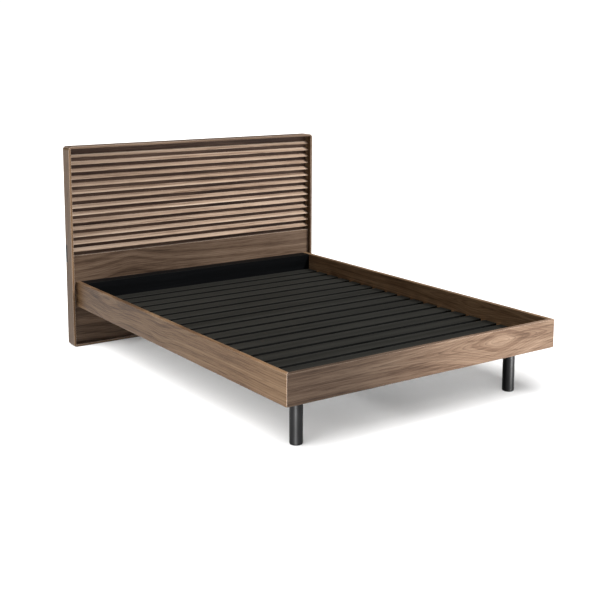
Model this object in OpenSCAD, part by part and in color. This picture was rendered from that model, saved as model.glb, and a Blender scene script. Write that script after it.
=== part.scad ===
// Platform bed with a louvred walnut headboard.
// Frame: X across the bed, Y from the foot towards the headboard, Z up from the floor.
// Origin: on the floor, in the middle of the footprint.

/* [Overall] */
// Length from the face of the footboard to the back of the headboard
bed_length = 2202; // [1835:1:2650]
// Clear width between the side rails
recess_width = 1559; // [1300:1:1900]
// Height of the headboard
headboard_height = 1153; // [960:1:1400]
// Height of the underside of the rails above the floor
rail_clearance = 234.5; // [190:0.5:285]

/* [Headboard] */
// Depth of the headboard box
headboard_depth = 84; // [76:1:110]
// Thickness of the mitred side, top and bottom boards
board_thick = 13; // [12:1:18]
// Radius of the outer corners of the mitred box
corner_radius = 20; // [8:1:22]
// Depth of the fascia and the louvre lips behind the front edges of the box
fascia_recess = 27; // [18:1:32]
// Thickness of the back panel that the louvres and the fascia are glued to
back_thick = 18; // [12:1:20]
// Depth of the back panel inside the back edges of the box
back_recess = 9; // [4:1:12]
// Open slot between a side rail and the headboard side beside it
side_slot = 19; // [8:1:24]

/* [Louvres] */
// Number of louvres
louvre_count = 14; // [8:1:14]
// Height of the lip of the lowest louvre above the floor
louvre_start = 551.5; // [460:0.5:620]
// Height from the lip of the highest louvre to the underside of the top board
louvre_top_gap = 49.5; // [30:0.5:80]
// Height that the sloping face of a louvre climbs from its lip to the back panel
louvre_rise = 15.5; // [8:0.5:20]
// Height of the upright nose under a louvre's lip
louvre_nose = 2; // [1:0.5:4]
// Gap between the lip of the lowest louvre and the top of the fascia
fascia_gap = 23.5; // [10:0.5:40]

/* [Rails] */
// Thickness of the side rails and the footboard
rail_thick = 25; // [22:1:32]
// Height of the side rails and the footboard
rail_height = 143.5; // [130:0.5:175]
// Radius of the outer foot corners
foot_radius = 10; // [4:1:18]
// Radius of the long edges of the rails
edge_radius = 3.5; // [2:0.5:5]
// Depth of the black rail between the side rails at the head
head_rail_depth = 75; // [68:1:95]
// Thickness of the boards of the head rail
head_rail_thick = 18; // [17:1:22]
// Drop of the head rail below the top of the side rails
head_rail_drop = 3; // [0:0.5:6]

/* [Slats] */
// Number of slats
slat_count = 18; // [10:1:18]
// Gap between two slats
slat_gap = 28; // [8:1:34]
// Thickness of a slat
slat_thick = 12; // [10:1:16]
// Depth from the top of the rails down to the top of the slats
recess_depth = 97; // [84:1:99]
// Gap at each end of a slat and of the row of slats
slat_play = 3; // [1:0.5:6]

/* [Supports] */
// Width of the ledgers under the slat ends
ledger_width = 25; // [22:1:32]
// Width of the centre beam
beam_width = 60; // [50:1:80]
// Width of the steel seat of a beam hanger
hanger_width = 120; // [115:1:150]
// Steel thickness of the brackets and hangers
bracket_thick = 4; // [3:0.5:5]
// Length of each leg of an angle bracket, and its height
bracket_size = 50; // [44:1:50]

/* [Legs] */
// Diameter of the round front legs
leg_dia = 60; // [45:1:72]
// Distance of a front leg's axis from the outer faces of the rail and the footboard
leg_inset = 155; // [120:1:200]
// Wall of the front leg tube
leg_wall = 3; // [2:0.5:5]
// Thickness of the end cap under a front leg
cap_thick = 4; // [3:0.5:8]
// Thickness of the steel corner plate that carries a front leg
plate_thick = 6; // [4:0.5:8]
// Diameter of the centre legs
centre_leg_dia = 40; // [32:1:50]
// Travel of the levelling feet under the centre legs
foot_travel = 10; // [5:1:15]

/* [Fixings] */
// Diameter of the connector bolts
bolt_dia = 8; // [6:0.5:8]
// Length of a connector bolt under its head
bolt_length = 20; // [18:1:20]
// Diameter of a bolt head
bolt_head_dia = 16; // [13:0.5:18]
// Thickness of a bolt head
bolt_head_thick = 4.5; // [3:0.5:6]

/* [Power modules] */
// Height of a power module's face
module_height = 100; // [80:1:120]
// Width of a power module's face
module_width = 22; // [18:1:26]
// Height of the underside of a power module above the floor
module_start = 487; // [300:1:520]

/* [Hidden] */
$fn = 48;
cut = 1;
fit_gap = 0.1;
running_gap = 0.05;

// Widths
rail_in = recess_width / 2;
rail_out = rail_in + rail_thick;
side_in = rail_out + side_slot;
side_out = side_in + board_thick;

// Places along the bed
foot_face = -bed_length / 2;
foot_in = foot_face + rail_thick;
head_back = bed_length / 2;
head_front = head_back - headboard_depth;
fascia_front = head_front + fascia_recess;
head_rail_front = fascia_front - head_rail_depth;
back_front = head_back - back_recess - back_thick;
recess_length = head_rail_front - foot_in;

// Heights
rail_top = rail_clearance + rail_height;
head_rail_top = rail_top - head_rail_drop;
slat_top = rail_top - recess_depth;
slat_bottom = slat_top - slat_thick;
ledger_bottom = rail_clearance + plate_thick;
hanger_seat = 3;
beam_bottom = rail_clearance + hanger_seat;

// Louvres: evenly spaced between the lowest and the highest lip
head_inside_top = headboard_height - board_thick;
louvre_pitch = (head_inside_top - louvre_top_gap - louvre_start) / (louvre_count - 1);
louvre_run = back_front - fascia_front;
fascia_top = louvre_start - fascia_gap;

// Slats: the width follows from the number and the gap
slat_width = (recess_length - 2 * slat_play - (slat_count - 1) * slat_gap) / slat_count;
slat_pitch = slat_width + slat_gap;

// Brackets, just above the slats
bracket_bottom = slat_top + 7;
bracket_bolt_out = 32;
bracket_bolt_heights = [15, bracket_size - 15];

// Legs
leg_x = rail_out - leg_inset;
leg_y = foot_face + leg_inset;
leg_top_thick = 16;
plate_size = leg_inset - rail_thick + leg_dia / 2 + 10;
plate_bolt_places = [60, plate_size - 30];
cap_plug = 8;
centre_leg_places = [foot_in + recess_length / 3, foot_in + recess_length * 2 / 3];
centre_plate_length = 110;
centre_plate_thick = 4;
centre_plate_bolt_out = 38;
centre_leg_top = beam_bottom - centre_plate_thick;
foot_disc_thick = 10;
foot_disc_dia = centre_leg_dia + 4;
stud_dia = 10;
stud_length = 40;
hanger_bolt_out = beam_width / 2 + 15;
hanger_bolt_height = (beam_bottom + slat_bottom) / 2;

// Power modules
port_long = 9;
port_short = 3.2;
port_deep = 2;
gland_dia = 11;
gland_out = 2;
cord_dia = 5;

function numbered(name, count) = [for (i = [1 : count]) str(name, "_", i)];

// ---- Shared shapes ----

// Draws its children on the +X side and again, mirrored, on the -X side
module both_sides() {
    children();
    mirror([1, 0, 0]) children();
}

// A box from its low corner to its high corner
module span(low, high) {
    translate(low) cube(high - low);
}

// A flat X-Z outline given the depth from one Y to another
module extrude_y(from, to) {
    translate([0, to, 0]) rotate([90, 0, 0]) linear_extrude(height = to - from) children();
}

// A flat Y-Z outline given the width from one X to another
module extrude_x(from, to) {
    translate([from, 0, 0]) rotate([90, 0, 90]) linear_extrude(height = to - from) children();
}

// A rectangle with round corners, from its low corner
module round_rect(size, radius) {
    translate([radius, 0]) square([size.x - 2 * radius, size.y]);
    translate([0, radius]) square([size.x, size.y - 2 * radius]);
    for (x = [radius, size.x - radius], y = [radius, size.y - radius]) {
        translate([x, y]) circle(radius);
    }
}

// ---- Connector bolts ----

// A bolt whose head rests on Z = 0 and whose shank points down
module bolt() {
    difference() {
        cylinder(h = bolt_head_thick, d = bolt_head_dia);
        translate([0, 0, bolt_head_thick / 2]) cylinder(h = bolt_head_thick, d = bolt_dia * 0.7, $fn = 6);
    }
    translate([0, 0, -bolt_length]) cylinder(h = bolt_length, d = bolt_dia);
}

// The bore for a bolt
module bolt_bore() {
    translate([0, 0, -bolt_length - fit_gap]) {
        cylinder(h = bolt_length + 2 * fit_gap, d = bolt_dia + 2 * fit_gap);
    }
}

// The two bolts through the leg of an angle bracket that lies against Y = 0
module at_bracket_leg_bolts() {
    for (height = bracket_bolt_heights) {
        translate([bracket_bolt_out, bracket_thick, height]) rotate([-90, 0, 0]) children();
    }
}

// All four bolts of an angle bracket with its inner corner at the origin
module at_bracket_bolts() {
    at_bracket_leg_bolts() children();
    mirror([1, -1, 0]) at_bracket_leg_bolts() children();
}

// The inner corners between the side rails and the footboard, and the rails and the headboard
module at_foot_corners() {
    both_sides() translate([-rail_in, foot_in, bracket_bottom]) children();
}

module at_head_corners() {
    both_sides() translate([-rail_in, fascia_front, bracket_bottom]) mirror([0, 1, 0]) children();
}

// The bolts up through the corner plates into the ledgers
module at_plate_bolts() {
    both_sides() translate([rail_in, foot_in, rail_clearance]) {
        for (place = plate_bolt_places) {
            translate([-ledger_width / 2, place, 0]) rotate([180, 0, 0]) children();
            translate([-place, ledger_width / 2, 0]) rotate([180, 0, 0]) children();
        }
    }
}

// The bolt down through each corner plate into its front leg
module at_leg_bolts() {
    both_sides() translate([leg_x, leg_y, rail_clearance + plate_thick]) children();
}

// The bolts through each beam hanger into the foot ledger and the head rail
module at_hanger_bolts() {
    both_sides() translate([hanger_bolt_out, 0, hanger_bolt_height]) {
        translate([0, foot_in + ledger_width + bracket_thick, 0]) rotate([-90, 0, 0]) children();
        translate([0, head_rail_front - bracket_thick, 0]) rotate([90, 0, 0]) children();
    }
}

// The bolts up through each centre leg plate into the beam
module at_centre_plate_bolts() {
    for (y = centre_leg_places, side = [-1, 1]) {
        translate([0, y + side * centre_plate_bolt_out, centre_leg_top]) rotate([180, 0, 0]) children();
    }
}

module frame_bolts() {
    color("dimgray") {
        at_foot_corners() at_bracket_bolts() bolt();
        at_head_corners() at_bracket_bolts() bolt();
        at_plate_bolts() bolt();
        at_leg_bolts() bolt();
        at_hanger_bolts() bolt();
        at_centre_plate_bolts() bolt();
    }
}

// ---- Headboard box ----

// The ring of the mitred box, seen from the front
module box_ring() {
    difference() {
        translate([-side_out, 0]) round_rect([2 * side_out, headboard_height], corner_radius);
        translate([-side_in, board_thick]) square([2 * side_in, headboard_height - 2 * board_thick]);
    }
}

// The part of the ring that a side board takes, cut at 45 degrees at both mitres
module side_board_outline() {
    reach = side_out - board_thick - cut;
    intersection() {
        box_ring();
        polygon([
            [-side_out - cut, -cut],
            [-reach, board_thick + cut],
            [-reach, headboard_height - board_thick - cut],
            [-side_out - cut, headboard_height + cut]
        ]);
    }
}

// The space that a power module takes in a side board, from the back edge
module module_pocket(gap) {
    span(
        [-side_out - cut, head_back - module_width - gap, module_start - gap],
        [-side_in + cut, head_back + cut, module_start + module_height + gap]
    );
}

module headboard_side() {
    difference() {
        extrude_y(head_front, head_back) side_board_outline();
        module_pocket(fit_gap);
    }
}

module headboard_side_left() {
    color("#6f5442") headboard_side();
}

module headboard_side_right() {
    color("#6f5442") mirror([1, 0, 0]) headboard_side();
}

// The bottom board is the lower part of the ring between the mitres
module headboard_bottom() {
    color("#6f5442") extrude_y(head_front, head_back) {
        intersection() {
            box_ring();
            polygon([
                [-side_out - cut, -cut],
                [side_out + cut, -cut],
                [side_in - cut, board_thick + cut],
                [-side_in + cut, board_thick + cut]
            ]);
        }
    }
}

module headboard_top() {
    color("#8a6b56") extrude_y(head_front, head_back) {
        intersection() {
            box_ring();
            polygon([
                [-side_out - cut, headboard_height + cut],
                [side_out + cut, headboard_height + cut],
                [side_in - cut, head_inside_top - cut],
                [-side_in + cut, head_inside_top - cut]
            ]);
        }
    }
}

module headboard_fascia() {
    color("#6b5344") difference() {
        span([-side_in, fascia_front, board_thick], [side_in, back_front, fascia_top]);
        at_head_corners() at_bracket_leg_bolts() bolt_bore();
    }
}

module headboard_back_panel() {
    color("#5c4637") span(
        [-side_in, back_front, board_thick],
        [side_in, back_front + back_thick, head_inside_top]
    );
}

// A wedge glued to the back panel: its lip overhangs the shaded panel below
module louvre(i) {
    color("#a08874") translate([0, fascia_front, louvre_start + (i - 1) * louvre_pitch]) {
        extrude_x(-side_in, side_in) polygon([
            [0, -louvre_nose],
            [0, 0],
            [louvre_run, louvre_rise],
            [louvre_run, -louvre_nose]
        ]);
    }
}

// ---- Power modules ----

// A black block in the back edge of the side board, with two charging ports and a cord gland
module power_module() {
    face = module_width - gland_out;
    middle = head_back - module_width + face / 2;
    centre_z = module_start + module_height / 2;
    difference() {
        span(
            [-side_out, head_back - module_width, module_start],
            [-side_in, head_back - gland_out, module_start + module_height]
        );
        for (side = [-1, 1]) {
            translate([-side_out - cut, middle, centre_z + side * module_height / 5]) {
                span([0, -port_short / 2, -port_long / 2], [port_deep + cut, port_short / 2, port_long / 2]);
            }
        }
    }
    translate([-side_out + board_thick / 2, head_back - gland_out, centre_z]) {
        rotate([-90, 0, 0]) difference() {
            cylinder(h = gland_out, d = gland_dia);
            translate([0, 0, -cut]) cylinder(h = gland_out + 2 * cut, d = cord_dia);
        }
    }
}

module power_module_left() {
    color("#161616") power_module();
}

module power_module_right() {
    color("#161616") mirror([1, 0, 0]) power_module();
}

// ---- Rails ----

// The outline of the frame from above, with round foot corners
module frame_plan() {
    length = fascia_front - foot_face;
    translate([-rail_out, foot_face]) {
        translate([0, foot_radius]) square([2 * rail_out, length - foot_radius]);
        translate([foot_radius, 0]) square([2 * rail_out - 2 * foot_radius, length]);
        for (x = [foot_radius, 2 * rail_out - foot_radius]) {
            translate([x, foot_radius]) circle(foot_radius);
        }
    }
}

// The section of a rail: thickness from 0, height from the underside of the rail
module rail_section() {
    round_rect([rail_thick, rail_height], edge_radius);
}

// Half-space on the side of the left foot mitre where the side rail lies
module left_of_mitre() {
    far = fascia_front + cut;
    translate([0, 0, rail_clearance - cut]) linear_extrude(height = rail_height + 2 * cut) {
        polygon([
            [-rail_out - cut, foot_face - cut],
            [-rail_in + cut, foot_in + cut],
            [-rail_in + cut, far],
            [-rail_out - cut, far]
        ]);
    }
}

module side_rail() {
    difference() {
        intersection() {
            translate([0, 0, rail_clearance]) linear_extrude(height = rail_height) frame_plan();
            translate([-rail_out, 0, rail_clearance]) extrude_y(foot_face, fascia_front) rail_section();
            left_of_mitre();
        }
        at_foot_corners() mirror([1, -1, 0]) at_bracket_leg_bolts() bolt_bore();
        at_head_corners() mirror([1, -1, 0]) at_bracket_leg_bolts() bolt_bore();
    }
}

module side_rail_left() {
    color("#8c7260") side_rail();
}

module side_rail_right() {
    color("#8c7260") mirror([1, 0, 0]) side_rail();
}

module footboard() {
    color("#a58c78") difference() {
        intersection() {
            translate([0, 0, rail_clearance]) linear_extrude(height = rail_height) frame_plan();
            translate([0, foot_face, rail_clearance]) extrude_x(-rail_out, rail_out) rail_section();
            translate([0, 0, rail_clearance - cut]) linear_extrude(height = rail_height + 2 * cut) {
                polygon([
                    [-rail_out - cut, foot_face - cut],
                    [rail_out + cut, foot_face - cut],
                    [rail_in - cut, foot_in + cut],
                    [-rail_in + cut, foot_in + cut]
                ]);
            }
        }
        at_foot_corners() at_bracket_leg_bolts() bolt_bore();
    }
}

// The black rail at the head: an upright board, and a cap board back to the fascia
module head_rail() {
    color("#15171a") difference() {
        union() {
            span(
                [-rail_in, head_rail_front, rail_clearance],
                [rail_in, head_rail_front + head_rail_thick, head_rail_top]
            );
            span(
                [-rail_in, head_rail_front, head_rail_top - head_rail_thick],
                [rail_in, fascia_front, head_rail_top]
            );
        }
        at_hanger_bolts() bolt_bore();
    }
}

// ---- Slats and their supports ----

module slat(i) {
    start = foot_in + slat_play + (i - 1) * slat_pitch;
    color("#3b3b38") span(
        [-rail_in + slat_play, start, slat_bottom],
        [rail_in - slat_play, start + slat_width, slat_top]
    );
}

module side_ledger() {
    difference() {
        span(
            [-rail_in, foot_in + ledger_width, ledger_bottom],
            [-rail_in + ledger_width, head_rail_front, slat_bottom]
        );
        at_plate_bolts() bolt_bore();
    }
}

module side_ledger_left() {
    color("#b79c78") side_ledger();
}

module side_ledger_right() {
    color("#b79c78") mirror([1, 0, 0]) side_ledger();
}

module foot_ledger() {
    color("#b79c78") difference() {
        span([-rail_in, foot_in, ledger_bottom], [rail_in, foot_in + ledger_width, slat_bottom]);
        at_plate_bolts() bolt_bore();
        at_hanger_bolts() bolt_bore();
    }
}

module centre_beam() {
    start = foot_in + ledger_width + bracket_thick;
    end = head_rail_front - bracket_thick;
    color("#2a2a28") difference() {
        span([-beam_width / 2, start, beam_bottom], [beam_width / 2, end, slat_bottom]);
        at_centre_plate_bolts() bolt_bore();
        for (y = centre_leg_places) {
            translate([0, y, beam_bottom - cut]) {
                cylinder(h = bolt_length - centre_plate_thick + fit_gap + cut, d = bolt_dia + 2 * fit_gap);
            }
        }
    }
}

// A steel seat against Y = 0 that a beam end drops onto
module beam_hanger() {
    difference() {
        union() {
            span(
                [-hanger_width / 2, 0, rail_clearance + hanger_seat],
                [hanger_width / 2, bracket_thick, slat_bottom]
            );
            span(
                [-beam_width / 2, 0, rail_clearance],
                [beam_width / 2, bracket_size, rail_clearance + hanger_seat]
            );
        }
        for (side = [-1, 1]) {
            translate([side * hanger_bolt_out, -cut, hanger_bolt_height]) {
                rotate([-90, 0, 0]) cylinder(h = bracket_thick + 2 * cut, d = bolt_dia + 2 * fit_gap);
            }
        }
    }
}

module beam_hangers() {
    color("#4a4a4a") {
        translate([0, foot_in + ledger_width, 0]) beam_hanger();
        translate([0, head_rail_front, 0]) mirror([0, 1, 0]) beam_hanger();
    }
}

// ---- Brackets ----

module angle_bracket() {
    difference() {
        union() {
            cube([bracket_size, bracket_thick, bracket_size]);
            cube([bracket_thick, bracket_size, bracket_size]);
        }
        at_bracket_bolts() bolt_bore();
    }
}

module rail_brackets() {
    color("#4a4a4a") {
        at_foot_corners() angle_bracket();
        at_head_corners() angle_bracket();
    }
}

// ---- Front legs ----

// A steel tube, open below, with a solid top that takes the bolt
module front_leg() {
    height = rail_clearance - cap_thick;
    bore = height - leg_top_thick;
    translate([leg_x, leg_y, cap_thick]) difference() {
        cylinder(h = height, d = leg_dia);
        translate([0, 0, -cut]) cylinder(h = bore + cut, d = leg_dia - 2 * leg_wall);
        translate([0, 0, bore - cut]) cylinder(h = leg_top_thick + 2 * cut, d = bolt_dia + 2 * fit_gap);
    }
}

module front_leg_left() {
    color("#232323") mirror([1, 0, 0]) front_leg();
}

module front_leg_right() {
    color("#232323") front_leg();
}

module leg_corner_plates() {
    color("#4a4a4a") both_sides() difference() {
        span(
            [rail_in - plate_size, foot_in, rail_clearance],
            [rail_in, foot_in + plate_size, rail_clearance + plate_thick]
        );
        at_plate_bolts() bolt_bore();
        at_leg_bolts() bolt_bore();
    }
}

// A plastic cap under each front leg, with a plug up its bore
module leg_end_caps() {
    color("#1c1c1c") both_sides() translate([leg_x, leg_y, 0]) {
        cylinder(h = cap_thick, d = leg_dia - leg_wall);
        cylinder(h = cap_thick + cap_plug, d = leg_dia - 2 * leg_wall - 2 * fit_gap);
    }
}

// ---- Centre legs ----

// A turned leg with a steel stud up through its plate into the beam
module centre_leg(y) {
    height = centre_leg_top - foot_disc_thick;
    translate([0, y, foot_disc_thick]) difference() {
        union() {
            cylinder(h = height, d = centre_leg_dia);
            cylinder(h = height + bolt_length, d = bolt_dia);
        }
        translate([0, 0, -cut]) cylinder(h = stud_length + 2 + cut, d = stud_dia + 2 * running_gap);
    }
}

module centre_leg_front() {
    color("#232323") centre_leg(centre_leg_places[0]);
}

module centre_leg_rear() {
    color("#232323") centre_leg(centre_leg_places[1]);
}

module centre_leg_plates() {
    half_width = beam_width / 2 - 2;
    color("#4a4a4a") for (y = centre_leg_places) {
        difference() {
            span(
                [-half_width, y - centre_plate_length / 2, centre_leg_top],
                [half_width, y + centre_plate_length / 2, beam_bottom]
            );
            at_centre_plate_bolts() bolt_bore();
            translate([0, y, centre_leg_top - cut]) {
                cylinder(h = centre_plate_thick + 2 * cut, d = bolt_dia + 2 * fit_gap);
            }
        }
    }
}

// A foot disc on a threaded stud, wound fully in
module levelling_foot(y) {
    translate([0, y, 0]) {
        cylinder(h = foot_disc_thick, d = foot_disc_dia);
        cylinder(h = foot_disc_thick + stud_length, d = stud_dia);
    }
}

module levelling_foot_front() {
    color("#2f2f2f") levelling_foot(centre_leg_places[0]);
}

module levelling_foot_rear() {
    color("#2f2f2f") levelling_foot(centre_leg_places[1]);
}

// ---- Nodes ----

headboard_side_left();
headboard_side_right();
headboard_top();
headboard_bottom();
headboard_fascia();
headboard_back_panel();
power_module_left();
power_module_right();
head_rail();
side_rail_left();
side_rail_right();
footboard();
side_ledger_left();
side_ledger_right();
foot_ledger();
centre_beam();
beam_hangers();
front_leg_left();
front_leg_right();
leg_corner_plates();
leg_end_caps();
centre_leg_front();
centre_leg_rear();
centre_leg_plates();
levelling_foot_front();
levelling_foot_rear();
rail_brackets();
frame_bolts();
for (i = [1 : louvre_count]) {
    louvre(i);
}
for (i = [1 : slat_count]) {
    slat(i);
}
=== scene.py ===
import math
import bmesh
import bpy
from mathutils import Matrix, Vector


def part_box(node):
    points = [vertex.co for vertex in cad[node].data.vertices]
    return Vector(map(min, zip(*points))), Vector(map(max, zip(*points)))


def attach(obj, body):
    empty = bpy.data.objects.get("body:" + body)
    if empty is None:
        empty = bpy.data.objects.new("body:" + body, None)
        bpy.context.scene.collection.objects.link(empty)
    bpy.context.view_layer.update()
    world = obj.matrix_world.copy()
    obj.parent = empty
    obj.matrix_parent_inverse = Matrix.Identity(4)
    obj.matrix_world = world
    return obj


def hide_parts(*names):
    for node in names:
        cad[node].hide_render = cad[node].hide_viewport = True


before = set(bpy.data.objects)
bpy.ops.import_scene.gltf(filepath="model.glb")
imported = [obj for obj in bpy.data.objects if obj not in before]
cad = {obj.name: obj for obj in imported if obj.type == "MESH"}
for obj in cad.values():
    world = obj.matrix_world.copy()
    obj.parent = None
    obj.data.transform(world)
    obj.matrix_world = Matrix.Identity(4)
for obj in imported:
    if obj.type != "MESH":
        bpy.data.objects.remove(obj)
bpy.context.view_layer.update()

# ---------------------------------------------------------------- headboard case
# Four walnut-veneered boards, 13 mm thick and 84 mm deep, mitred and glued into a shallow case.
# Its outer corners are rounded, the front edges are eased, and the bottom board stands on the floor.

def place(tree, kind, inputs=None, **settings):
    """One shader node, with its settings, and its inputs given as values or as other nodes' sockets."""
    made = tree.nodes.new(kind)
    for name, value in settings.items():
        setattr(made, name, value)
    for name, value in (inputs or {}).items():
        if isinstance(value, bpy.types.NodeSocket):
            tree.links.new(value, made.inputs[name])
        else:
            made.inputs[name].default_value = value
    return made


def maths(tree, operation, *values):
    """One arithmetic node."""
    return place(tree, "ShaderNodeMath", dict(enumerate(values)), operation=operation).outputs[0]


def dot(tree, first, second):
    """How far one vector reaches along another."""
    made = place(tree, "ShaderNodeVectorMath", {0: first, 1: second}, operation="DOT_PRODUCT")
    return made.outputs["Value"]


def bed_axes(tree):
    """Where a point is in the bed's own axes."""
    return place(tree, "ShaderNodeTexCoord").outputs["Object"]


def blend_colour(tree, kind, amount, first, second):
    """One colour mix of the given kind."""
    made = place(tree, "ShaderNodeMix", data_type="RGBA", blend_type=kind, clamp_result=False)
    for socket, value in zip((made.inputs[0], made.inputs[6], made.inputs[7]), (amount, first, second)):
        if isinstance(value, bpy.types.NodeSocket):
            tree.links.new(value, socket)
        else:
            socket.default_value = value
    return made.outputs[2]


def cloud(tree, along, across, seed, rates, offset=0.0, detail=2.0, rough=0.5):
    """Smooth noise from 0 to 1. rates says how quickly it changes along the grain and across it."""
    where = place(tree, "ShaderNodeCombineXYZ", {
        "X": maths(tree, "MULTIPLY", along, rates[0]),
        "Y": maths(tree, "MULTIPLY", across, rates[1]),
        "Z": maths(tree, "ADD", seed, offset),
    }).outputs[0]
    return place(
        tree, "ShaderNodeTexNoise", {"Vector": where, "Scale": 1.0, "Detail": detail, "Roughness": rough}
    ).outputs["Fac"]


def speckle(tree, where, scale, detail):
    """Noise from 0 to 1 through the whole solid, so it has no seams."""
    return place(
        tree, "ShaderNodeTexNoise", {"Vector": where, "Scale": scale, "Detail": detail}
    ).outputs["Fac"]


def within(tree, value, low, high, to_low=0.0, to_high=1.0, smooth=False):
    """A value moved from one range to another and held there."""
    return place(
        tree, "ShaderNodeMapRange",
        {"Value": value, "From Min": low, "From Max": high, "To Min": to_low, "To Max": to_high},
        interpolation_type="SMOOTHSTEP" if smooth else "LINEAR",
    ).outputs[0]


def new_group(name, inputs, outputs):
    """An empty shader group with named sockets, ready to be filled."""
    tree = bpy.data.node_groups.new(name, "ShaderNodeTree")
    for label, value in inputs.items():
        kind = "NodeSocketColor" if isinstance(value, tuple) else "NodeSocketFloat"
        tree.interface.new_socket(label, in_out="INPUT", socket_type=kind).default_value = value
    for label, kind in outputs.items():
        tree.interface.new_socket(label, in_out="OUTPUT", socket_type=kind)
    return tree, tree.nodes.new("NodeGroupInput").outputs, tree.nodes.new("NodeGroupOutput").inputs


def use_group(tree, group, **inputs):
    """A shader group placed in a material, its inputs given with _ for spaces."""
    made = place(tree, "ShaderNodeGroup", node_tree=group)
    for name, value in inputs.items():
        socket = made.inputs[name.replace("_", " ")]
        if isinstance(value, bpy.types.NodeSocket):
            tree.links.new(value, socket)
        else:
            socket.default_value = value
    return made.outputs


def timber_figure_group():
    """Growth rings on a sawn face: straight lines that gather into pointed arches round two hearts."""
    tree, given, out = new_group(
        "timber figure",
        {"Along": 0.0, "Across": 0.0, "Seed": 0.0, "Heart Along": 90.0, "Heart Across": 0.0,
         "Second Heart Along": 90.0, "Second Heart Across": 0.0, "Reach": 0.5, "Taper": 0.11,
         "Ring Width": 0.010, "Wander": 0.007},
        dict.fromkeys(("Line", "Band", "Streak", "Pore"), "NodeSocketFloat"),
    )
    slow_sway, quick_sway, ring_sway = 1.8, 0.5, 0.5
    tip_blunting, side_blunting, heart_blend = 0.0016, 0.00006, 0.03
    line_sharpness, faintest_line, line_end = 4.0, 0.3, 0.93
    bands_per_ring, slow_share = 0.24, 0.5
    fine_share, coarse_share = 0.4, 0.6
    pore_start, pore_full = 0.6, 0.72

    along, across, seed = given["Along"], given["Across"], given["Seed"]
    slow = cloud(tree, along, across, seed, rates=(1.7, 3.0))
    quick = cloud(tree, along, across, seed, rates=(9.0, 34.0), offset=5.0, detail=3.0)
    sway = maths(tree, "MULTIPLY", maths(tree, "SUBTRACT", slow, 0.5), slow_sway)
    sway = maths(tree, "MULTIPLY_ADD", maths(tree, "SUBTRACT", quick, 0.5), quick_sway, sway)
    bent = maths(tree, "MULTIPLY_ADD", sway, given["Wander"], across)

    def round_heart(heart_along, heart_across):
        """How deep among the rings a point is, counted from one heart."""
        far = maths(tree, "SUBTRACT", along, heart_along)
        far = maths(tree, "SQRT", maths(tree, "MULTIPLY_ADD", far, far, tip_blunting))
        hold = maths(tree, "MULTIPLY", given["Reach"], given["Reach"])
        hold = maths(tree, "SQRT", maths(tree, "MULTIPLY_ADD", far, far, hold))
        climb = maths(tree, "DIVIDE", maths(tree, "MULTIPLY", far, given["Reach"]), hold)
        side = maths(tree, "SUBTRACT", bent, heart_across)
        side = maths(tree, "SQRT", maths(tree, "MULTIPLY_ADD", side, side, side_blunting))
        return maths(tree, "MULTIPLY_ADD", climb, given["Taper"], side)

    first = round_heart(given["Heart Along"], given["Heart Across"])
    second = round_heart(given["Second Heart Along"], given["Second Heart Across"])
    depth = maths(tree, "SMOOTH_MIN", first, second, heart_blend)
    ring = maths(tree, "DIVIDE", depth, given["Ring Width"])
    ring = maths(tree, "ADD", ring, maths(tree, "MULTIPLY", quick, ring_sway))
    inside = maths(tree, "FRACT", ring)
    each = place(
        tree, "ShaderNodeTexWhiteNoise", {"W": maths(tree, "ADD", maths(tree, "FLOOR", ring), seed)},
        noise_dimensions="1D",
    ).outputs["Value"]
    line = maths(tree, "POWER", inside, line_sharpness)
    line = maths(tree, "MULTIPLY", line, within(tree, each, 0.0, 1.0, faintest_line, 1.0))
    line = maths(tree, "MULTIPLY", line, within(tree, inside, 1.0, line_end))
    tree.links.new(line, out["Line"])
    band = place(
        tree, "ShaderNodeTexNoise",
        {"W": maths(tree, "MULTIPLY_ADD", ring, bands_per_ring, seed), "Scale": 1.0, "Detail": 2.0},
        noise_dimensions="1D",
    ).outputs["Fac"]
    band = maths(tree, "MULTIPLY_ADD", maths(tree, "SUBTRACT", slow, 0.5), slow_share, band)
    tree.links.new(band, out["Band"])
    coarse = cloud(tree, along, bent, seed, rates=(2.4, 95.0), offset=9.0, detail=3.0, rough=0.7)
    fine = cloud(tree, along, bent, seed, rates=(11.0, 420.0), offset=17.0, rough=0.6)
    streak = maths(tree, "MULTIPLY_ADD", fine, fine_share, maths(tree, "MULTIPLY", coarse, coarse_share))
    tree.links.new(streak, out["Streak"])
    pores = cloud(tree, along, across, seed, rates=(120.0, 2200.0), detail=1.0)
    tree.links.new(within(tree, pores, pore_start, pore_full), out["Pore"])
    return tree


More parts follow.
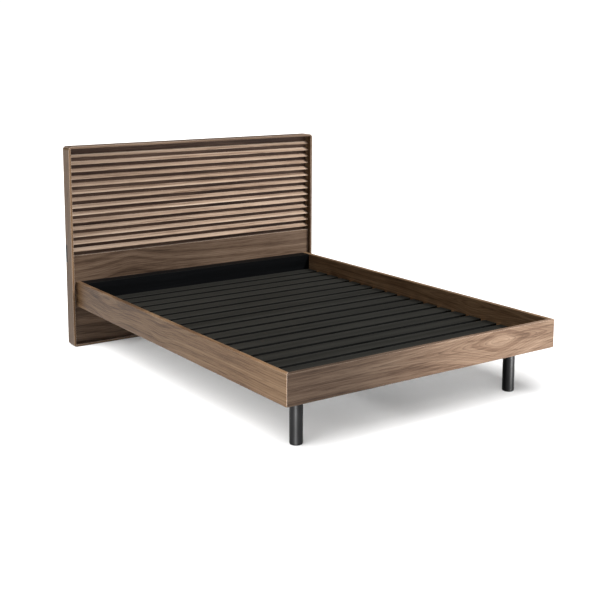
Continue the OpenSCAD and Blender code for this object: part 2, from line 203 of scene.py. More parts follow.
def timber_finish_group():
    """Turns the figure's masks into the colour, roughness and relief of a finished timber face."""
    tree, given, out = new_group(
        "timber finish",
        {"Line": 0.0, "Band": 0.5, "Streak": 0.5, "Pore": 0.0, "Wear": 0.0,
         "Dark": (0.1, 0.06, 0.04, 1.0), "Middle": (0.2, 0.13, 0.09, 1.0),
         "Light": (0.3, 0.2, 0.15, 1.0), "Edge": (0.42, 0.32, 0.25, 1.0),
         "Line Depth": 0.5, "Gloss": 0.4},
        {"Colour": "NodeSocketColor", "Roughness": "NodeSocketFloat", "Height": "NodeSocketFloat"},
    )
    streak_tone, band_tone = 0.75, 0.55
    dark_to_middle, middle_to_light = (0.42, 0.63), (0.6, 0.84)
    thin_streaks, thin_streak_depth = (0.47, 0.36), 0.6
    pore_depth, wear_and_highlight_depth = 0.45, 0.75
    pore_stain = (0.25, 0.2, 0.17, 1)
    streak_rough, pore_rough, wear_and_highlight_rough = 0.12, 0.15, -0.06
    streak_rise, line_rise, pore_rise = 0.5, -0.35, -0.8

    line, streak, pore, edge_wear_and_highlight = given["Line"], given["Streak"], given["Pore"], given["Wear"]
    tone = maths(tree, "MULTIPLY_ADD", streak, streak_tone, maths(tree, "MULTIPLY", given["Band"], band_tone))
    colour = blend_colour(tree, "MIX", within(tree, tone, *dark_to_middle), given["Dark"], given["Middle"])
    colour = blend_colour(tree, "MIX", within(tree, tone, *middle_to_light), colour, given["Light"])
    thin = maths(tree, "MULTIPLY", within(tree, streak, *thin_streaks), thin_streak_depth)
    cut = maths(tree, "MULTIPLY", maths(tree, "MAXIMUM", thin, line), given["Line Depth"])
    colour = blend_colour(tree, "MIX", cut, colour, given["Dark"])
    colour = blend_colour(tree, "MULTIPLY", maths(tree, "MULTIPLY", pore, pore_depth), colour, pore_stain)
    # The edge tone is laid on the upper arrises: partly wear and partly a painted highlight.
    colour = blend_colour(tree, "MIX", maths(tree, "MULTIPLY", edge_wear_and_highlight, wear_and_highlight_depth), colour, given["Edge"])
    tree.links.new(colour, out["Colour"])
    rough = maths(tree, "MULTIPLY_ADD", streak, streak_rough, given["Gloss"])
    rough = maths(tree, "MULTIPLY_ADD", pore, pore_rough, rough)
    tree.links.new(maths(tree, "MULTIPLY_ADD", edge_wear_and_highlight, wear_and_highlight_rough, rough), out["Roughness"])
    relief = maths(tree, "MULTIPLY_ADD", streak, streak_rise, maths(tree, "MULTIPLY", line, line_rise))
    tree.links.new(maths(tree, "MULTIPLY_ADD", pore, pore_rise, relief), out["Height"])
    return tree


def eased_edge_group():
    """Where edges are: one mask of the upper and side arrises, a little broken up, and one of the lower ones.
    """
    tree, given, out = new_group(
        "eased edge", {"Width": 0.003, "Breakup": 0.4}, dict.fromkeys(("Mask", "Under"), "NodeSocketFloat"),
    )
    edge_starts, edge_full = 0.995, 0.85
    patch_scale, patch_full, least_kept = 26.0, 0.6, 0.2
    under_starts, under_full = -0.1, -0.3

    eased = place(tree, "ShaderNodeBevel", {"Radius": given["Width"]}, samples=4).outputs[0]
    flat = place(tree, "ShaderNodeNewGeometry").outputs["Normal"]
    edge = within(tree, dot(tree, eased, flat), edge_starts, edge_full)
    patch = speckle(tree, bed_axes(tree), scale=patch_scale, detail=3.0)
    patch = maths(tree, "MULTIPLY", patch, given["Breakup"])
    keep = within(tree, patch, 0.0, patch_full, to_low=1.0, to_high=least_kept)
    rise = place(tree, "ShaderNodeSeparateXYZ", {0: eased}).outputs["Z"]
    under = maths(tree, "MULTIPLY", edge, within(tree, rise, under_starts, under_full))
    tree.links.new(under, out["Under"])
    tree.links.new(maths(tree, "MULTIPLY", maths(tree, "SUBTRACT", edge, under), keep), out["Mask"])
    return tree


timber_figure = timber_figure_group()
timber_finish = timber_finish_group()
eased_edge = eased_edge_group()


def new_material(name):
    """A material with one Principled shader, and its tree and shader."""
    material = bpy.data.materials.new(name)
    material.use_nodes = True
    return material, material.node_tree, material.node_tree.nodes["Principled BSDF"]


def connect(tree, shader, colour, rough, height, strength, depth):
    """Leads a colour, a roughness and a relief of the given strength and depth into the shader."""
    relief = place(tree, "ShaderNodeBump", {"Height": height, "Strength": strength, "Distance": depth})
    tree.links.new(colour, shader.inputs["Base Color"])
    tree.links.new(rough, shader.inputs["Roughness"])
    tree.links.new(relief.outputs[0], shader.inputs["Normal"])


def lengths(tree, grain):
    """How far a point is along the grain and across it."""
    where = bed_axes(tree)
    return [dot(tree, where, way) for way in grain]


def row_step(tree, way, start, pitch):
    """Which piece of a row a point is on, from the row's direction, its start and its pitch."""
    passed = maths(tree, "SUBTRACT", dot(tree, bed_axes(tree), way), start)
    return maths(tree, "FLOOR", maths(tree, "DIVIDE", passed, pitch))


# Timber tones are dark, middle and light. A grain is two directions: along it, and across it.
WALNUT_TONES = ((0.026, 0.014, 0.009, 1.0), (0.098, 0.061, 0.040, 1.0), (0.175, 0.122, 0.085, 1.0))
WARM_TONES = ((0.025, 0.012, 0.006, 1.0), (0.100, 0.056, 0.028, 1.0), (0.180, 0.115, 0.064, 1.0))
# The pale edge tone for walnut: partly worn timber and partly a painted highlight on the lit arrises.
WALNUT_WEAR_AND_HIGHLIGHT = (0.62, 0.50, 0.42, 1.0)
GRAIN_X = ((1, 0, 0), (0, 0.62, 1))
GRAIN_Y = ((0, 1, 0), (0.62, 0, 1))
GRAIN_Z = ((0, 0, 1), (1, 0.62, 0))


def walnut(name, grain, seed, tones=WALNUT_TONES, gloss=0.34, line=0.75, repeat=None, edge_wear_and_highlight=0.0045,
           tone_and_light_drift=None, **figure):
    """Satin-lacquered walnut veneer.

    repeat=(direction, start, pitch) gives each of a row of pieces its own leaf.
    A drift of (start, end, first, last) lets the tone move along the grain: partly the leaf's own change, and
    partly painted light, brighter towards the lit side.
    """
    leaf_shift, leaf_change = 0.731, 2.37
    material, tree, shader = new_material(name)
    reach, across = lengths(tree, grain)
    along, leaf = reach, seed
    if repeat:
        step = row_step(tree, *repeat)
        along = maths(tree, "MULTIPLY_ADD", step, leaf_shift, reach)
        leaf = maths(tree, "MULTIPLY_ADD", step, leaf_change, seed)
    masks = use_group(tree, timber_figure, Along=along, Across=across, Seed=leaf, **figure)
    # The upper and side arrises are lightened, partly as wear and partly as a painted highlight.
    arris = use_group(tree, eased_edge, Width=edge_wear_and_highlight, Breakup=0.4)
    # The lower arrises are darkened along with the grain lines: painted shade under the edges.
    made = use_group(
        tree, timber_finish, Line=maths(tree, "MAXIMUM", masks["Line"], arris["Under"]),
        Band=masks["Band"], Streak=masks["Streak"], Pore=masks["Pore"], Wear=arris["Mask"],
        Dark=tones[0], Middle=tones[1], Light=tones[2], Edge=WALNUT_WEAR_AND_HIGHLIGHT, Line_Depth=line, Gloss=gloss,
    )
    colour = made["Colour"]
    # The tone drift multiplies the colour: partly the leaf's own change and partly painted light.
    if tone_and_light_drift:
        tone = within(tree, reach, *tone_and_light_drift, smooth=True)
        tone = place(tree, "ShaderNodeCombineColor", {0: tone, 1: tone, 2: tone}).outputs[0]
        colour = blend_colour(tree, "MULTIPLY", 1.0, colour, tone)
    connect(tree, shader, colour, made["Roughness"], made["Height"], strength=0.35, depth=0.0004)
    shader.inputs["Specular IOR Level"].default_value = 0.08
    shader.inputs["Coat Weight"].default_value = 0.02
    shader.inputs["Coat Roughness"].default_value = 0.28
    return material


def softened(outline, cuts, steps=4):
    """A closed outline in two lengths with each corner rounded off by its own cut."""
    ring = []
    for i, (corner, cut) in enumerate(zip(outline, cuts)):
        corner = Vector(corner)
        if not cut:
            ring.append(corner)
            continue
        before = corner + (Vector(outline[i - 1]) - corner).normalized() * cut
        after = corner + (Vector(outline[(i + 1) % len(outline)]) - corner).normalized() * cut
        for step in range(steps + 1):
            t = step / steps
            ring.append(before * (1 - t) ** 2 + corner * 2 * t * (1 - t) + after * t * t)
    return ring


def skin(name, rings, closed=False, sharp=32):
    """A solid through rings of points: its ends are capped, or it closes on itself."""
    mesh = bmesh.new()
    rows = [[mesh.verts.new(point) for point in ring] for ring in rings]
    pairs = list(zip(rows, rows[1:])) + ([(rows[-1], rows[0])] if closed else [])
    for near, far in pairs:
        for i in range(len(near)):
            j = (i + 1) % len(near)
            mesh.faces.new((near[i], near[j], far[j], far[i]))
    if not closed:
        mesh.faces.new(rows[0])
        mesh.faces.new(rows[-1][::-1])
    bmesh.ops.recalc_face_normals(mesh, faces=mesh.faces)
    data = bpy.data.meshes.new(name)
    mesh.to_mesh(data)
    mesh.free()
    data.shade_smooth()
    data.set_sharp_from_angle(angle=math.radians(sharp))
    made = bpy.data.objects.new(name, data)
    bpy.context.scene.collection.objects.link(made)
    weighted = made.modifiers.new("even shading", "WEIGHTED_NORMAL")
    weighted.keep_sharp = True
    return made


def settle(piece, material, node, body="bed"):
    """Gives a finished piece its material, and fixes it in place of its CAD node."""
    piece.data.materials.append(material)
    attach(piece, body)
    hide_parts(node)
    return piece


def board(name, start, end, out, rise, thick, radius, eases, mitres=(True, True)):
    """A board between two inner corners. out leads from its inner face, and rise is its width as a vector.

    A mitred end stops on the 45 degree line and turns into the corner's radius.
    """
    arc_steps, least_inner, station_gap = 6, 0.004, 0.15
    run, width = end - start, rise.length
    way, up = run.normalized(), rise.normalized()
    ring = softened([(0, 0), (thick, 0), (thick, width), (0, width)], eases)
    turn = []
    for step in range(arc_steps + 1):
        angle = math.radians(45 + 45 * step / arc_steps)
        inner = max(radius - thick, least_inner) * step / arc_steps
        outer = radius - thick - radius * math.cos(angle)
        turn.append((inner, outer, thick - radius + radius * math.sin(angle)))
    square = [(0.0, 0.0, thick)]
    first = turn if mitres[0] else square
    last = [(run.length - a, run.length - b, c) for a, b, c in reversed(turn if mitres[1] else square)]
    count = max(3, round(run.length / station_gap))
    middle = [(run.length * k / count, run.length * k / count, thick) for k in range(1, count)]
    rings = []
    for inner, outer, reach in first + middle + last:
        near = start + way * inner
        far = start + way * outer + out * reach
        rings.append([near + (far - near) * (p.x / thick) + up * p.y for p in ring])
    return skin(name, rings)


case_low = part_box("headboard_side_left")[0]
case_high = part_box("headboard_side_right")[1]
case_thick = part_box("headboard_side_left")[1].x - case_low.x
case_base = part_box("headboard_bottom")[0].z
case_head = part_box("headboard_top")[1].z
case_corner = 0.02
case_eases = (0.0012, 0.0022, 0.0015, 0.001)
inner_x = case_high.x - case_thick
inner_low, inner_high = case_base + case_thick, case_head - case_thick
depth_way = Vector((0, case_high.y - case_low.y, 0))
pocket_fit, cut_margin = 0.0001, 0.01

walnut_upright = walnut("walnut upright", GRAIN_Z, 11.0, tones=WARM_TONES, Ring_Width=0.006)
walnut_case_top = walnut("walnut case top", GRAIN_X, 23.0, Ring_Width=0.007)
for side, name in ((-1, "left"), (1, "right")):
    upright = board(
        f"case_side_{name}", Vector((side * inner_x, case_low.y, inner_low)),
        Vector((side * inner_x, case_low.y, inner_high)), Vector((side, 0, 0)), depth_way, case_thick,
        case_corner, case_eases,
    )
    module_low, module_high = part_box(f"power_module_{name}")
    front, back = module_low.y - pocket_fit, case_high.y + cut_margin
    bottom, top = module_low.z - pocket_fit, module_high.z + pocket_fit
    pocket = skin("pocket", [
        [(x, front, bottom), (x, back, bottom), (x, back, top), (x, front, top)]
        for x in (module_low.x - cut_margin, module_high.x + cut_margin)
    ])
    cut = upright.modifiers.new("pocket", "BOOLEAN")
    cut.object = pocket
    cut.solver = "EXACT"
    upright.modifiers.move(1, 0)
    bpy.context.view_layer.update()
    whole = upright.evaluated_get(bpy.context.evaluated_depsgraph_get())
    upright.data = bpy.data.meshes.new_from_object(whole)
    upright.modifiers.clear()
    bpy.data.objects.remove(pocket)
    settle(upright, walnut_upright, f"headboard_side_{name}")
for name, level, way in (("top", inner_high, 1), ("bottom", inner_low, -1)):
    rail = board(
        f"case_{name}", Vector((-inner_x, case_low.y, level)), Vector((inner_x, case_low.y, level)),
        Vector((0, 0, way)), depth_way, case_thick, case_corner, case_eases,
    )
    settle(rail, walnut_case_top, f"headboard_{name}")

# ---------------------------------------------------------------- headboard fascia
# A 30 mm board between the case sides, faced with one wide leaf of walnut.
# It stands on the bottom board, is glued to the back panel, and carries the bed frame's brackets.

def along_x(name, ring, low, high, steps, sharp=32):
    """A piece with the same outline all the way from one side of the bed to the other."""
    return skin(name, [
        [(low + (high - low) * step / steps, p.x, p.y) for p in ring] for step in range(steps + 1)
    ], sharp=sharp)


def bar(name, low, high, eases):
    """A straight bar across the bed that fills a box, with its four long edges eased."""
    station_gap = 0.15
    ring = softened([(low.y, low.z), (high.y, low.z), (high.y, high.z), (low.y, high.z)], eases)
    return along_x(name, ring, low.x, high.x, max(2, round((high.x - low.x) / station_gap)))


# The fascia's tones are darker than the footboard's as painted shade, and its drift makes it lighter towards
# the right as painted light.
FASCIA_SHADED_TONES = ((0.018, 0.010, 0.006, 1.0), (0.064, 0.040, 0.026, 1.0), (0.115, 0.078, 0.054, 1.0))
walnut_fascia = walnut(
    "walnut fascia", GRAIN_X, 4.0, tones=FASCIA_SHADED_TONES, Heart_Along=-0.46, Heart_Across=0.992,
    Reach=0.3, Taper=0.26, Ring_Width=0.011, tone_and_light_drift=(-0.2, 0.7, 0.97, 1.3),
)
fascia = bar("fascia_board", *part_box("headboard_fascia"), (0.0005, 0.0005, 0.0005, 0.0015))
settle(fascia, walnut_fascia, "headboard_fascia")

# ---------------------------------------------------------------- headboard back panel
# An 18 mm walnut-faced panel glued into the case behind the louvres, set in a little from the back.
# Only narrow strips of it show between the louvres, and its back face is finished too.

# The panel's tones are darker than the other walnut: painted shade for the strips that lie under the louvres.
PANEL_SHADED_TONES = ((0.020, 0.011, 0.008, 1.0), (0.060, 0.034, 0.024, 1.0), (0.11, 0.070, 0.050, 1.0))
walnut_panel = walnut(
    "walnut panel", GRAIN_X, 31.0, tones=PANEL_SHADED_TONES, gloss=0.42, edge_wear_and_highlight=0.001, Heart_Along=0.2,
    Heart_Across=1.3,
)
panel = bar("back_panel", *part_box("headboard_back_panel"), (0.0004,) * 4)
settle(panel, walnut_panel, "headboard_back_panel")

# ---------------------------------------------------------------- louvres
# Fourteen walnut wedges glued across the panel, each with a flat underside and a sloping upper face.
# The blunt nose is 2 mm deep and rounded over, and each wedge is cut from its own strip of veneer.

louvre_nose, nose_round, leaf_margin = 0.002, 0.0009, 0.01
first_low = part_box("louvre_1")[0]
louvre_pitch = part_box("louvre_2")[0].z - first_low.z
# The louvres' tones are much lighter than the other walnut as painted light on their sloping faces, and the
# drift darkens them towards the left as painted shade.
walnut_louvre = walnut(
    "walnut louvre", ((1, 0, 0), (0, 1, 0.3)), 47.0,
    tones=((0.10, 0.060, 0.038, 1.0), (0.33, 0.235, 0.170, 1.0), (0.47, 0.365, 0.280, 1.0)),
    gloss=0.32, line=0.8, repeat=((0, 0, 1), first_low.z - leaf_margin, louvre_pitch), edge_wear_and_highlight=0.0006,
    tone_and_light_drift=(-0.8, 0.3, 0.72, 1.05), Ring_Width=0.005, Wander=0.016,
)
for number in range(1, 15):
    low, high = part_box(f"louvre_{number}")
    ring = softened(
        [(low.y, low.z), (high.y, low.z), (high.y, high.z), (low.y, low.z + louvre_nose)],
        (nose_round, 0, 0, nose_round), steps=3,
    )
    louvre = along_x(f"louvre_strip_{number:02d}", ring, low.x, high.x, steps=12, sharp=40)
    settle(louvre, walnut_louvre, f"louvre_{number}")

# ---------------------------------------------------------------- power modules
# A moulded black block let into the back edge of each case side, with two charging ports.
# It is a push fit in its pocket, and its cord gland looks out of the back.

def patchy(tree, shade, gloss, less, more):
    """A roughness that drifts a little below and above its usual value."""
    return within(tree, shade, 0.3, 0.7, gloss - less, gloss + more)


def rubbed(tree, colour, mask, share, bare):
    """A colour that is rubbed part of the way to another one on the edges."""
    return blend_colour(tree, "MIX", maths(tree, "MULTIPLY", mask, share), colour, bare)


def moulded(name, tone, gloss):
    """Moulded plastic with a spark-eroded texture, slightly polished where it is touched."""
    material, tree, shader = new_material(name)
    where = bed_axes(tree)
    texture = speckle(tree, where, scale=1400.0, detail=2.0)
    shade = speckle(tree, where, scale=22.0, detail=4.0)
    mask = use_group(tree, eased_edge, Width=0.0006, Breakup=0.5)["Mask"]
    darker, lighter, polished = [(*[c * k for c in tone], 1.0) for k in (0.8, 1.3, 2.2)]
    colour = blend_colour(tree, "MIX", shade, darker, lighter)
    colour = rubbed(tree, colour, mask, share=0.4, bare=polished)
    rough = patchy(tree, shade, gloss, less=0.05, more=0.07)
    rough = maths(tree, "MULTIPLY_ADD", mask, -0.08, rough)
    connect(tree, shader, colour, rough, texture, strength=0.35, depth=0.0002)
    shader.inputs["Specular IOR Level"].default_value = 0.03
    return material


def dress(node, material):
    """Gives a CAD node that keeps its own shape its finished material."""
    for slot in cad[node].material_slots:
        slot.material = material


module_plastic = moulded("module plastic", (0.0035, 0.0035, 0.0038), gloss=0.5)
for name in ("left", "right"):
    dress(f"power_module_{name}", module_plastic)

# ---------------------------------------------------------------- head rail
# The black-lacquered board that closes the mattress recess at the headboard.
# It is an upright board with a cap glued to it that reaches back to the fascia.

def lacquered(name, grain, seed, tones, gloss, level, relief=0.3, repeat=None, side_shade=None):
    """Paint or lacquer over timber: the grain shows only as a faint relief and an uneven tone.

    repeat=(direction, start, pitch) gives each of a row of pieces its own grain.
    The side shade, if given, is painted shade: a darker tone on faces that don't face up, as if they lay in
    shadow.
    """
    grain_shift, grain_change = 0.417, 3.19
    material, tree, shader = new_material(name)
    along, across = lengths(tree, grain)
    leaf = seed
    if repeat:
        step = row_step(tree, *repeat)
        along = maths(tree, "MULTIPLY_ADD", step, grain_shift, along)
        leaf = maths(tree, "MULTIPLY_ADD", step, grain_change, seed)
    masks = use_group(
        tree, timber_figure, Along=along, Across=across, Seed=leaf, Ring_Width=0.012, Wander=0.01,
    )
    # The upper arrises are lightened to the light tone, partly as wear and partly as a painted highlight.
    worn_and_lit_edge = use_group(tree, eased_edge, Width=0.002, Breakup=0.7)["Mask"]
    made = use_group(
        tree, timber_finish, Line=maths(tree, "MULTIPLY", masks["Line"], 0.5), Band=masks["Band"],
        Streak=masks["Streak"], Pore=maths(tree, "MULTIPLY", masks["Pore"], 0.3), Wear=worn_and_lit_edge,
        Dark=tones[0], Middle=tones[1], Light=tones[2], Edge=tones[2], Line_Depth=0.3, Gloss=gloss,
    )
    colour = made["Colour"]
    # Faces that don't face up get the darker tone: painted shade.
    if side_shade:
        facing_up = dot(tree, place(tree, "ShaderNodeNewGeometry").outputs["Normal"], (0, 0, 1))
        colour = blend_colour(tree, "MIX", within(tree, facing_up, 0.5, 0.9), side_shade, colour)
    connect(tree, shader, colour, made["Roughness"], made["Height"], strength=relief, depth=0.0002)
    shader.inputs["Specular IOR Level"].default_value = level
    return material


LACQUER_TONES = ((0.0010, 0.0012, 0.0014, 1.0), (0.0014, 0.0016, 0.0019, 1.0), (0.003, 0.0033, 0.0037, 1.0))
black_lacquer = lacquered("black lacquer", GRAIN_X, 3.0, LACQUER_TONES, gloss=0.42, level=0.04)
rail_low, rail_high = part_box("head_rail")
rail_thick = 0.018
rail_back, cap_under = rail_low.y + rail_thick, rail_high.z - rail_thick
outline = [
    (rail_low.y, rail_low.z), (rail_back, rail_low.z), (rail_back, cap_under),
    (rail_high.y, cap_under), (rail_high.y, rail_high.z), (rail_low.y, rail_high.z),
]
ring = softened(outline, (0.001, 0.001, 0, 0.0005, 0.0005, 0.002))
closing_rail = along_x("closing_rail", ring, rail_low.x, rail_high.x, steps=10)
settle(closing_rail, black_lacquer, "head_rail")

# ---------------------------------------------------------------- bed frame rails
# Two side rails and a footboard, 25 mm thick with walnut veneer on both faces and on the edges.
# They are mitred at the foot, with a small radius down each corner, and the long edges are eased.

foot_low, foot_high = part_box("footboard")
left_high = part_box("side_rail_left")[1]
thick = foot_high.y - foot_low.y
recess_half = -left_high.x
frame_rise = Vector((0, 0, foot_high.z - foot_low.z))
foot_corner = 0.010
long_eases = (0.0035,) * 4

# The footboard's drift makes it much lighter towards the right: partly the leaf's tone and partly painted
# light from the right.
walnut_foot = walnut(
    "walnut footboard", GRAIN_X, 7.0, line=0.8, tone_and_light_drift=(-0.55, 0.45, 0.5, 1.7), Heart_Along=0.43,
    Heart_Across=-0.355, Reach=0.4, Taper=0.34, Ring_Width=0.012, Wander=0.006,
)
footboard = board(
    "foot_panel", Vector((-recess_half, foot_high.y, foot_low.z)),
    Vector((recess_half, foot_high.y, foot_low.z)), Vector((0, -1, 0)), frame_rise, thick, foot_corner,
    long_eases,
)
settle(footboard, walnut_foot, "footboard")
# The rails' drift makes them lighter towards the foot: partly the leaf's tone and partly painted light.
rail_tone_and_light = {"left": (1.5, 1.15), "right": (1.3, 1.15)}
rail_figures = {
    "left": dict(Heart_Along=0.62, Heart_Across=-0.14, Second_Heart_Along=0.02, Second_Heart_Across=-0.11),
    "right": dict(Heart_Along=-0.55, Heart_Across=0.83),
}
for side, name in ((-1, "left"), (1, "right")):
    side_rail = board(
        f"side_panel_{name}", Vector((side * recess_half, foot_high.y, foot_low.z)),
        Vector((side * recess_half, left_high.y, foot_low.z)), Vector((side, 0, 0)), frame_rise, thick,
        foot_corner, long_eases, mitres=(True, False),
    )
    leaf = walnut(
        f"walnut side rail {name}", GRAIN_Y, 13.0 + 6 * side, tones=WARM_TONES, line=0.9,
        tone_and_light_drift=(-1.05, 0.15, *rail_tone_and_light[name]), Reach=0.3, Taper=0.24, Ring_Width=0.011, Wander=0.006,
        **rail_figures[name],
    )
    settle(side_rail, leaf, f"side_rail_{name}")

# ---------------------------------------------------------------- ledgers and centre beam
# Sanded softwood strips glued and screwed inside the rails, and a painted beam down the middle.
# The slats lie on them, and two folded steel hangers carry the beam's ends.

PINE_TONES = ((0.40, 0.25, 0.13, 1.0), (0.52, 0.37, 0.22, 1.0), (0.62, 0.47, 0.31, 1.0))
pine_finish = dict(tones=PINE_TONES, gloss=0.5, line=0.55, Ring_Width=0.006)
pine_long = walnut("sanded pine along", GRAIN_Y, 61.0, **pine_finish)
pine_cross = walnut("sanded pine across", GRAIN_X, 67.0, **pine_finish)
for node in ("side_ledger_left", "side_ledger_right"):
    dress(node, pine_long)
dress("foot_ledger", pine_cross)
CHARCOAL_TONES = ((0.0105, 0.0103, 0.0088, 1.0), (0.0142, 0.0139, 0.0120, 1.0), (0.021, 0.0206, 0.018, 1.0))
charcoal_beam = lacquered("charcoal paint along", GRAIN_Y, 71.0, CHARCOAL_TONES, gloss=0.5, level=0.3)
dress("centre_beam", charcoal_beam)

# ---------------------------------------------------------------- slats
# Eighteen laminated slats painted charcoal, laid across the whole bed with narrow gaps between them.
# Their long edges are rounded over, their sides take a darker tone as painted shade, and they rest loose on
# the ledgers and the beam.

slat_low, slat_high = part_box("slat_1")
slat_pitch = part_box("slat_2")[0].y - slat_low.y
half_gap = (slat_pitch - (slat_high.y - slat_low.y)) / 2
charcoal_slat = lacquered(
    "charcoal paint across", ((1, 0, 0), (0, 1, 0.5)), 5.0, CHARCOAL_TONES, gloss=0.55, level=0.06,
    relief=0.5, repeat=((0, 1, 0), slat_low.y - half_gap, slat_pitch), side_shade=(0.0012, 0.0012, 0.0011, 1.0),
)
for number in range(1, 19):
    slat = bar(f"slat_board_{number:02d}", *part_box(f"slat_{number}"), (0.0025,) * 4)
    settle(slat, charcoal_slat, f"slat_{number}")

# ---------------------------------------------------------------- front legs
# Two 60 mm steel tubes with a satin black powder coat, screwed up to the corner plates.
# A black nylon cap is pushed into the foot of each, and its rim is all that meets the floor.

def lathed(name, centre, profile, segments=64):
    """A turned piece: (radius, height) points spun about an upright line."""
    rings = []
    for step in range(segments):
        angle = 2 * math.pi * step / segments
        rings.append([
            (centre.x + r * math.cos(angle), centre.y + r * math.sin(angle), z) for r, z in profile
        ])
    return skin(name, rings, closed=True, sharp=35)


def powder_coat(name, tones, gloss, level):
    """Baked powder coat: a slight orange-peel surface, thinner and shinier on the edges."""
    material, tree, shader = new_material(name)
    where = bed_axes(tree)
    peel = speckle(tree, where, scale=520.0, detail=1.0)
    shade = speckle(tree, where, scale=14.0, detail=4.0)
    mask = use_group(tree, eased_edge, Width=0.0012, Breakup=0.8)["Mask"]
    colour = blend_colour(tree, "MIX", shade, tones[0], tones[1])
    colour = rubbed(tree, colour, mask, share=0.5, bare=tones[2])
    rough = patchy(tree, shade, gloss, less=0.04, more=0.05)
    rough = maths(tree, "MULTIPLY_ADD", mask, -0.1, rough)
    connect(tree, shader, colour, rough, peel, strength=0.25, depth=0.0002)
    shader.inputs["Specular IOR Level"].default_value = level
    return material


LEG_TONES = ((0.0008, 0.0008, 0.0008, 1.0), (0.0014, 0.0014, 0.0015, 1.0), (0.02, 0.02, 0.02, 1.0))
leg_coat = powder_coat("black powder coat", LEG_TONES, gloss=0.35, level=0.07)
cap_nylon = moulded("black nylon", (0.007, 0.007, 0.007), gloss=0.5)
leg_wall, leg_ease, leg_station, bore_station = 0.003, 0.0012, 0.08, 0.1
cap_round, cap_fit, core = 0.002, 0.0001, 0.0005
cap_low, cap_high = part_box("leg_end_caps")
rim = (cap_high.y - cap_low.y) / 2
leg_tubes = []
for name in ("left", "right"):
    low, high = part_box(f"front_leg_{name}")
    centre = (low + high) / 2
    outer = (high.x - low.x) / 2
    inner = outer - leg_wall
    leg = lathed(f"leg_tube_{name}", centre, [
        (inner, low.z), (outer - leg_ease, low.z), (outer - leg_ease * 0.3, low.z + leg_ease * 0.3),
        (outer, low.z + leg_ease), (outer, low.z + leg_station), (outer, high.z - leg_station),
        (outer, high.z - leg_ease), (outer - leg_ease, high.z), (inner, high.z),
        (inner, high.z - bore_station),
    ])
    leg_tubes.append(settle(leg, leg_coat, f"front_leg_{name}"))
    cap = lathed(f"leg_cap_{name}", centre, [
        (core, cap_low.z), (rim - cap_round, cap_low.z),
        (rim - cap_round * 0.3, cap_low.z + cap_round * 0.3), (rim, cap_low.z + cap_round),
        (rim, low.z), (inner - cap_fit, low.z), (inner - cap_fit, cap_high.z), (core, cap_high.z),
    ])
    settle(cap, cap_nylon, "leg_end_caps")

# ---------------------------------------------------------------- corner plates, hangers and brackets
# Pressed steel parts with a dark powder coat, which hold the legs, the beam and the frame together.
# They are bolted up under the rails, round the ends of the beam and into the corners.

BRACKET_TONES = ((0.035, 0.035, 0.037, 1.0), (0.055, 0.055, 0.057, 1.0), (0.12, 0.12, 0.12, 1.0))
bracket_coat = powder_coat("dark powder coat", BRACKET_TONES, gloss=0.42, level=0.5)
for node in ("leg_corner_plates", "beam_hangers", "rail_brackets", "centre_leg_plates"):
    dress(node, bracket_coat)

# ---------------------------------------------------------------- centre legs and levelling feet
# Two black-lacquered legs stand under the beam, each with a screwed foot for an uneven floor.
# The foot is a nylon disc moulded on a rolled M10 stud, and it is the only part that moves.

for name in ("front", "rear"):
    dress(f"centre_leg_{name}", black_lacquer)


def zinc(name, tone, gloss):
    """Dark zinc on steel, with fine turning marks and a duller bloom in places."""
    material, tree, shader = new_material(name)
    where = bed_axes(tree)
    bloom = speckle(tree, where, scale=130.0, detail=5.0)
    marks = speckle(tree, where, scale=2600.0, detail=1.0)
    mask = use_group(tree, eased_edge, Width=0.0005, Breakup=0.6)["Mask"]
    darker, lighter = [(*[c * k for c in tone], 1.0) for k in (0.65, 1.15)]
    colour = blend_colour(tree, "MIX", bloom, darker, lighter)
    colour = rubbed(tree, colour, mask, share=0.5, bare=(0.6, 0.6, 0.6, 1))
    rough = patchy(tree, bloom, gloss, less=0.08, more=0.14)
    connect(tree, shader, colour, rough, marks, strength=0.15, depth=0.0001)
    shader.inputs["Metallic"].default_value = 1.0
    return material


stud_zinc = zinc("dark zinc", (0.30, 0.30, 0.31), gloss=0.36)
disc_thick, disc_round, disc_side, disc_rise = 0.010, 0.0025, 0.0008, 0.0007
stud_radius, thread_pitch, thread_deep = 0.005, 0.0015, 0.0006
crest_start, crest_end = 0.45, 0.6
for name in ("front", "rear"):
    low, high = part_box(f"levelling_foot_{name}")
    centre = (low + high) / 2
    disc = (high.y - low.y) / 2
    disc_top = low.z + disc_thick
    foot = lathed(f"foot_disc_{name}", centre, [
        (core, low.z), (disc - disc_round, low.z), (disc - disc_side, low.z + disc_rise),
        (disc, low.z + disc_round), (disc, disc_top - disc_round),
        (disc - disc_side, disc_top - disc_rise), (disc - disc_round, disc_top), (core, disc_top),
    ])
    settle(foot, cap_nylon, f"levelling_foot_{name}", f"{name}_levelling_foot")
    level, profile = disc_top, [(core, disc_top)]
    while level + thread_pitch < high.z:
        profile += [
            (stud_radius - thread_deep, level), (stud_radius, level + thread_pitch * crest_start),
            (stud_radius, level + thread_pitch * crest_end),
        ]
        level += thread_pitch
    profile += [(stud_radius - thread_deep, high.z), (core, high.z)]
    stud = lathed(f"foot_stud_{name}", centre, profile, segments=40)
    settle(stud, stud_zinc, f"levelling_foot_{name}", f"{name}_levelling_foot")

# ---------------------------------------------------------------- bolts
# Thirty-four button-headed M8 bolts with hexagon sockets, in dark zinc.
# They hold the brackets, the plates and the hangers to the timber.

dress("frame_bolts", stud_zinc)

# ---------------------------------------------------------------- floor and studio
# A wide pale floor and a near-white surround. The floor and the bed have a wide soft light each.
# The bed also has a key light, two softboxes in front, and a narrow strip for each front leg.

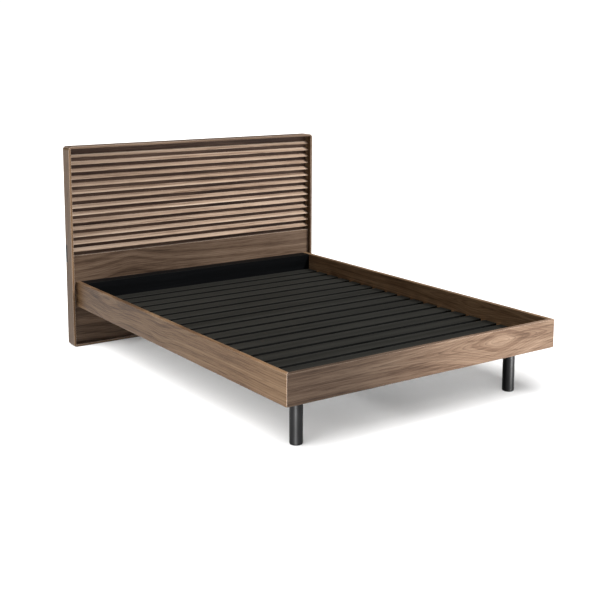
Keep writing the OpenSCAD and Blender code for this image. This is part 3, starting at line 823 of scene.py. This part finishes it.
floor_half = 60.0
sheet = bmesh.new()
bmesh.ops.create_grid(sheet, x_segments=8, y_segments=8, size=floor_half)
floor_data = bpy.data.meshes.new("studio_floor")
sheet.to_mesh(floor_data)
sheet.free()
floor = bpy.data.objects.new("studio_floor", floor_data)
bpy.context.scene.collection.objects.link(floor)
floor_paint, tree, shader = new_material("pale floor")
shader.inputs["Base Color"].default_value = (0.92, 0.92, 0.92, 1.0)
shader.inputs["Roughness"].default_value = 0.9
shader.inputs["Specular IOR Level"].default_value = 0.0
floor_data.materials.append(floor_paint)

world = bpy.data.worlds.new("studio surround")
bpy.context.scene.world = world
world.use_nodes = True
tree = world.node_tree
surround = tree.nodes["Background"]
surround.inputs["Color"].default_value = (1.0, 1.0, 1.0, 1.0)
seen, lit = 1.05, 0.12
straight = place(tree, "ShaderNodeLightPath").outputs["Is Camera Ray"]
tree.links.new(maths(tree, "MULTIPLY_ADD", straight, seen - lit, lit), surround.inputs["Strength"])


def receivers(name, member, state):
    """A group that names the one object a lamp lights (INCLUDE) or leaves alone (EXCLUDE)."""
    group = bpy.data.collections.new(name)
    group.objects.link(member)
    group.collection_objects[0].light_linking.link_state = state
    return group


def studio_light(name, kind, where, towards, power, on, size=None, spread=None, shadow=True):
    """A softbox of the given size, or a wide even light from far off, facing a point."""
    lamp = bpy.data.lights.new(name, kind)
    if size:
        lamp.shape = "RECTANGLE"
        lamp.size, lamp.size_y = size
    if spread:
        lamp.angle = math.radians(spread)
    lamp.energy = power
    lamp.use_shadow = shadow
    stand = bpy.data.objects.new(name, lamp)
    stand.location = where
    stand.rotation_mode = "QUATERNION"
    stand.rotation_quaternion = (Vector(towards) - Vector(where)).to_track_quat("-Z", "Y")
    stand.light_linking.receiver_collection = on
    bpy.context.scene.collection.objects.link(stand)


bed_only = receivers("all but the floor", floor, "EXCLUDE")
floor_only = receivers("floor alone", floor, "INCLUDE")
middle = (0.0, 0.0, 0.0)
studio_light("overhead light", "SUN", (-0.3, -0.5, 4.0), middle, 2.6, bed_only, spread=50.0)
studio_light("floor light", "SUN", (-2.0, -1.0, 4.0), middle, 7.0, floor_only, spread=76.0)
studio_light("floor fill", "SUN", (0.0, 0.0, 4.0), middle, 0.05, floor_only, shadow=False)
studio_light("key light", "SUN", (1.6, -4.4, 3.3), middle, 4.4, bed_only, spread=9.0)
studio_light("right softbox", "AREA", (2.6, -2.6, 0.9), (0.8, -1.1, 0.3), 22.0, bed_only, size=(1.0, 1.0))
studio_light("left softbox", "AREA", (-2.7, -2.3, 0.9), (-0.8, -0.8, 0.3), 22.0, bed_only, size=(1.0, 1.2))
strip_stands = {"left": (-2.6, -3.25, 0.3), "right": (1.27, -3.9, 0.3)}
strip_power, strip_size, aim_height = 1800.0, (0.35, 0.6), 0.15
for name, leg in zip(("left", "right"), leg_tubes):
    tube_only = receivers(f"{name} leg tube", leg, "INCLUDE")
    aim = (leg.bound_box[0][0], leg.bound_box[0][1], aim_height)
    studio_light(f"{name} leg strip", "AREA", strip_stands[name], aim, strip_power, tube_only, strip_size)

view = bpy.context.scene.view_settings
view.view_transform = "Standard"
view.look = "None"

# ---------------------------------------------------------------- camera
# It stands in front of the foot of the bed, to its left and half a metre above the headboard.
# The lens shift keeps the uprights nearly parallel, and the bed stays in the frame from every side.

stand_point = (-3.1954, -4.6135, 1.7049)
yaw, pitch, roll = math.radians(34.958), math.radians(8.616), math.radians(0.132)
gaze = Vector((math.sin(yaw) * math.cos(pitch), math.cos(yaw) * math.cos(pitch), -math.sin(pitch)))
level_right = Vector((math.cos(yaw), -math.sin(yaw), 0.0))
level_up = level_right.cross(gaze)
right = level_right * math.cos(roll) + level_up * math.sin(roll)
up = level_up * math.cos(roll) - level_right * math.sin(roll)
lens = bpy.data.cameras.new("studio camera")
lens.sensor_width = 36.0
lens.lens = 64.324
lens.shift_y = -0.15
lens.clip_end = 300.0
camera = bpy.data.objects.new("studio camera", lens)
turn = Matrix((right, up, -gaze)).transposed().to_4x4()
camera.matrix_world = Matrix.Translation(stand_point) @ turn
bpy.context.scene.collection.objects.link(camera)
bpy.context.scene.camera = camera
